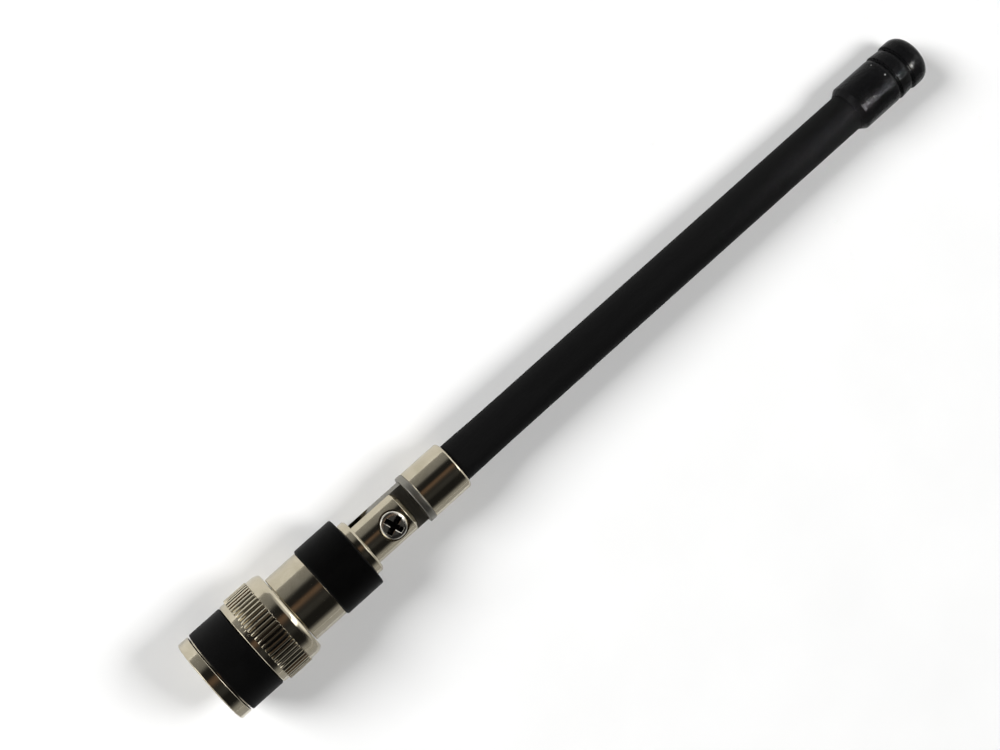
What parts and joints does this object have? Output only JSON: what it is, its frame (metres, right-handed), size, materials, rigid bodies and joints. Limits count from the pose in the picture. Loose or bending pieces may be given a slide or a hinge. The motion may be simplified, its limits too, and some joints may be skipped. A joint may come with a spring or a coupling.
{
  "type": "uhf whip antenna",
  "caption": "Short rubber-sheathed whip antenna on a folding knuckle, with an insulated base and a bayonet coaxial plug, for a radio or receiver.",
  "frame": {"origin": "on the plug's axis, in the plane of the gasket's face where the mating socket's rim seats", "axes": "+Z along the antenna towards the whip's tip; -Y the way the pivot screw's head faces"},
  "size_m": [0.0144, 0.0144, 0.14],
  "materials": {
    "plated_brass": "bright nickel plate",
    "screw_steel": "bright plate",
    "spring_steel": "plain",
    "gilt_brass": "thin gilding",
    "band_rubber": "matt",
    "black_plastic": "matt",
    "sheath_rubber": "matt",
    "cap_rubber": "satin",
    "gasket_rubber": "matt",
    "white_plastic": "waxy"
  },
  "bodies": {
    "plug": {"plug_body": "plated_brass", "gasket": "gasket_rubber", "dielectric": "white_plastic", "centre_contact": "gilt_brass", "base_shell": "plated_brass", "base_insulator": "black_plastic", "fork": "plated_brass", "pivot_screw": "screw_steel", "wave_washer": "spring_steel"},
    "washer": {"thrust_washer": "spring_steel"},
    "nut": {"coupling_nut": "plated_brass", "nut_band": "band_rubber"},
    "whip": {"knuckle_tongue": "plated_brass", "ferrule": "plated_brass", "radiator_wire": "spring_steel", "sheath": "sheath_rubber", "end_cap": "cap_rubber"}
  },
  "joints": [
    {"name": "nut_slide", "type": "slide", "parent": "plug", "child": "washer", "axis": [0, 0, -1], "range_m": [0, 0.0006], "stiffness_N_per_m": 150, "springref_m": -0.001, "deforming": ["wave_washer"]},
    {"name": "nut_spin", "type": "hinge", "parent": "washer", "child": "nut", "pos_m": [0, 0, 0], "axis": [0, 0, 1], "continuous": true},
    {"name": "knuckle", "type": "hinge", "parent": "plug", "child": "whip", "pos_m": [0, 0, 0.02502], "axis": [0, 1, 0], "range_deg": [-90, 90]}
  ]
}
